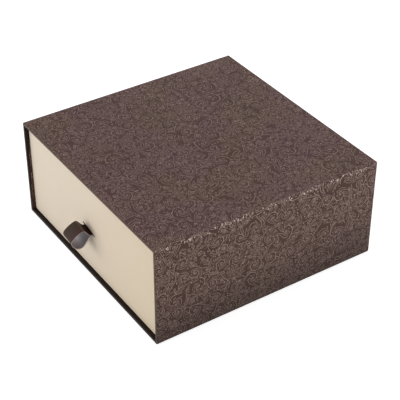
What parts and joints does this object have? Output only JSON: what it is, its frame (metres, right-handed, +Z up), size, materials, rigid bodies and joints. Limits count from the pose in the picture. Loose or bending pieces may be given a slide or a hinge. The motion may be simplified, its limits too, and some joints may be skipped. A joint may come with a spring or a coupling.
{
  "type": "sliding drawer gift box",
  "caption": "Rigid square gift box: a cream tray drawer with a ribbon loop pull slides out of a dark slipcase sleeve covered in scrolling foliage paper.",
  "frame": {"origin": "middle of the sleeve's underside, on the table", "axes": "+X across the mouth to the viewer's right, +Y into the box, +Z up; the drawer pulls out along -Y"},
  "size_m": [0.2, 0.2151, 0.0866],
  "materials": {
    "greyboard": "dense recycled greyboard, matt, fine fibre flecks",
    "patterned_cover_paper": "dark brown cover paper with an embossed pearl foliage pattern, satin",
    "dark_lining_paper": "plain dark brown lining paper, matt",
    "kraft_stay_tape": "gummed kraft stay tape, matt",
    "cream_cover_paper": "plain cream cover paper, smooth, faint sheen",
    "cream_card": "thin cream card, smooth",
    "satin_ribbon": "dark brown satin ribbon with woven edges"
  },
  "bodies": {
    "sleeve": {"sleeve_top_board": "greyboard", "sleeve_bottom_board": "greyboard", "sleeve_left_board": "greyboard", "sleeve_right_board": "greyboard", "sleeve_back_board": "greyboard", "sleeve_top_left_stay_tape": "kraft_stay_tape", "sleeve_top_right_stay_tape": "kraft_stay_tape", "sleeve_bottom_left_stay_tape": "kraft_stay_tape", "sleeve_bottom_right_stay_tape": "kraft_stay_tape", "sleeve_wrap": "patterned_cover_paper", "sleeve_base_sheet": "patterned_cover_paper", "sleeve_back_sheet": "patterned_cover_paper", "sleeve_top_lining": "dark_lining_paper", "sleeve_floor_lining": "dark_lining_paper", "sleeve_left_lining": "dark_lining_paper", "sleeve_right_lining": "dark_lining_paper", "sleeve_back_lining": "dark_lining_paper"},
    "drawer": {"drawer_bottom_board": "greyboard", "drawer_front_board": "greyboard", "drawer_back_board": "greyboard", "drawer_left_board": "greyboard", "drawer_right_board": "greyboard", "drawer_front_left_stay_tape": "kraft_stay_tape", "drawer_front_right_stay_tape": "kraft_stay_tape", "drawer_back_left_stay_tape": "kraft_stay_tape", "drawer_back_right_stay_tape": "kraft_stay_tape", "drawer_wrap": "cream_cover_paper", "drawer_floor_lining": "cream_cover_paper", "drawer_wall_lining": "cream_cover_paper", "ribbon_anchor_card": "cream_card", "ribbon_pull": "satin_ribbon"}
  },
  "joints": [
    {"name": "drawer_slide", "type": "slide", "parent": "sleeve", "child": "drawer", "axis": [0, -1, 0], "range_m": [0, 0.2]}
  ]
}
